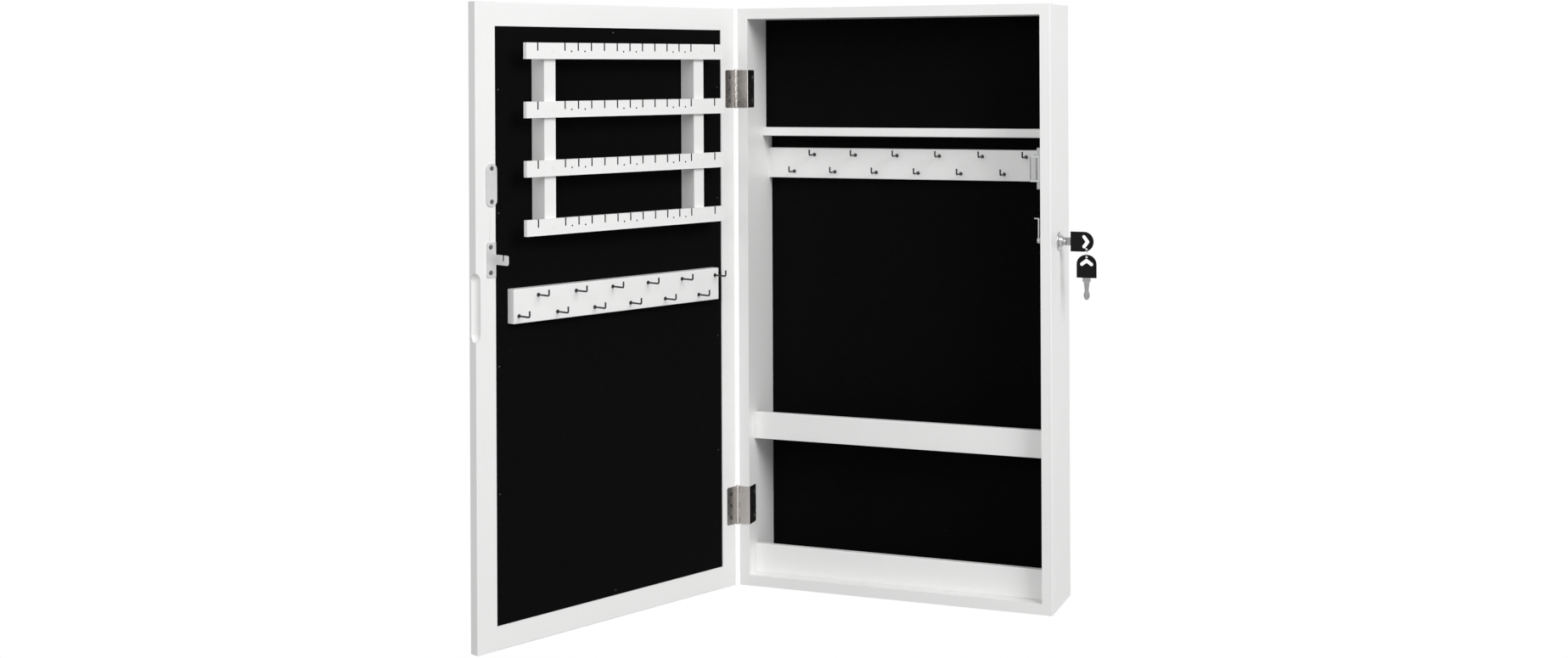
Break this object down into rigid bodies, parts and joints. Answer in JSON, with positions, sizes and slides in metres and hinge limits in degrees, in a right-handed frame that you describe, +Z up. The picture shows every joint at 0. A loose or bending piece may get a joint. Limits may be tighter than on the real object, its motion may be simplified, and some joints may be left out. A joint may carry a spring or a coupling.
{
  "type": "jewelry mirror cabinet",
  "caption": "White wall-hung jewelry cabinet with a hinged mirror door, felt-lined compartments, necklace hooks, slotted earring bars, magnetic catch and cam lock with keys.",
  "frame": {"origin": "midpoint between the round entries of the two keyhole hangers, on the plane of the wall", "axes": "+X to the right as seen from the front, +Y into the wall, +Z up"},
  "size_m": [0.5703, 0.4316, 0.67],
  "materials": {
    "key_plastic": "moulded black plastic",
    "white_paint": "satin white paint on wood",
    "black_felt": "black felt",
    "hardboard": "smooth brown hardboard",
    "pine": "planed softwood",
    "nickel": "polished nickel plate",
    "zinc_steel": "bright zinc-plated steel",
    "painted_metal": "screw head painted over",
    "catch_plastic": "moulded white plastic",
    "ferrite": "dark ferrite",
    "mirror": "silvered float glass with a bevel",
    "lock_chrome": "bright plated"
  },
  "bodies": {
    "cabinet": {"side_panel_left": "white_paint", "side_panel_right": "white_paint", "top_panel": "white_paint", "bottom_panel": "white_paint", "panel_dowels": "pine", "back_board": "hardboard", "main_felt": "black_felt", "upper_back_panel": "black_felt", "ledge": "white_paint", "middle_tray_lip": "white_paint", "middle_tray_base": "white_paint", "bottom_tray_lip": "white_paint", "tray_felts": "black_felt", "hanging_rail": "pine", "keyhole_hangers": "zinc_steel", "hanger_screws": "zinc_steel", "body_hook_rail": "white_paint", "body_hooks": "nickel", "catch_housing": "catch_plastic", "catch_magnet": "ferrite", "catch_pole_plates": "zinc_steel", "catch_screws": "zinc_steel", "lower_hinge_body_leaf": "nickel", "upper_hinge_body_leaf": "nickel", "hinge_pins": "nickel", "hinge_body_screws": "nickel", "lock_barrel": "lock_chrome", "lock_nut": "lock_chrome"},
    "door": {"door_stile_free": "white_paint", "door_stile_hinge": "white_paint", "door_rail_top": "white_paint", "door_rail_bottom": "white_paint", "mirror_glass": "mirror", "mirror_backing": "hardboard", "door_felt_panel": "black_felt", "felt_pins": "nickel", "earring_bar_1": "white_paint", "earring_bar_2": "white_paint", "earring_bar_3": "white_paint", "earring_bar_4": "white_paint", "rack_upright_hinge_side": "white_paint", "rack_upright_free_side": "white_paint", "rack_screws": "painted_metal", "door_hook_rail": "white_paint", "door_hooks": "nickel", "strike_plate": "zinc_steel", "lock_keeper": "lock_chrome", "keeper_screws": "zinc_steel", "lower_hinge_door_leaf": "nickel", "upper_hinge_door_leaf": "nickel", "hinge_door_screws": "nickel"},
    "lock_plug": {"lock_plug": "lock_chrome", "lock_cam": "lock_chrome", "cam_screw": "lock_chrome"},
    "key_one": {"key_one_bow": "key_plastic", "key_one_blade": "lock_chrome"},
    "key_ring": {"key_ring": "lock_chrome"},
    "key_two": {"key_two_bow": "key_plastic", "key_two_blade": "lock_chrome"}
  },
  "joints": [
    {"name": "door_hinge", "type": "hinge", "parent": "cabinet", "child": "door", "pos_m": [-0.18745, -0.08885, -0.277], "axis": [0, 0, 1], "range_deg": [-67.2, 112.8]},
    {"name": "lock_turn", "type": "hinge", "parent": "cabinet", "child": "lock_plug", "pos_m": [0.185, -0.051, -0.205], "axis": [1, 0, 0], "range_deg": [0, 90]},
    {"name": "key_slide", "type": "slide", "parent": "lock_plug", "child": "key_one", "axis": [1, 0, 0], "range_m": [0, 0.026]},
    {"name": "ring_swing", "type": "hinge", "parent": "key_one", "child": "key_ring", "pos_m": [0.216, -0.051, -0.2134], "axis": [1, 0, 0], "range_deg": [-20, 20]},
    {"name": "key_two_swing", "type": "hinge", "parent": "key_ring", "child": "key_two", "pos_m": [0.216, -0.051, -0.2218], "axis": [0, 1, 0], "range_deg": [-45, 34]}
  ]
}
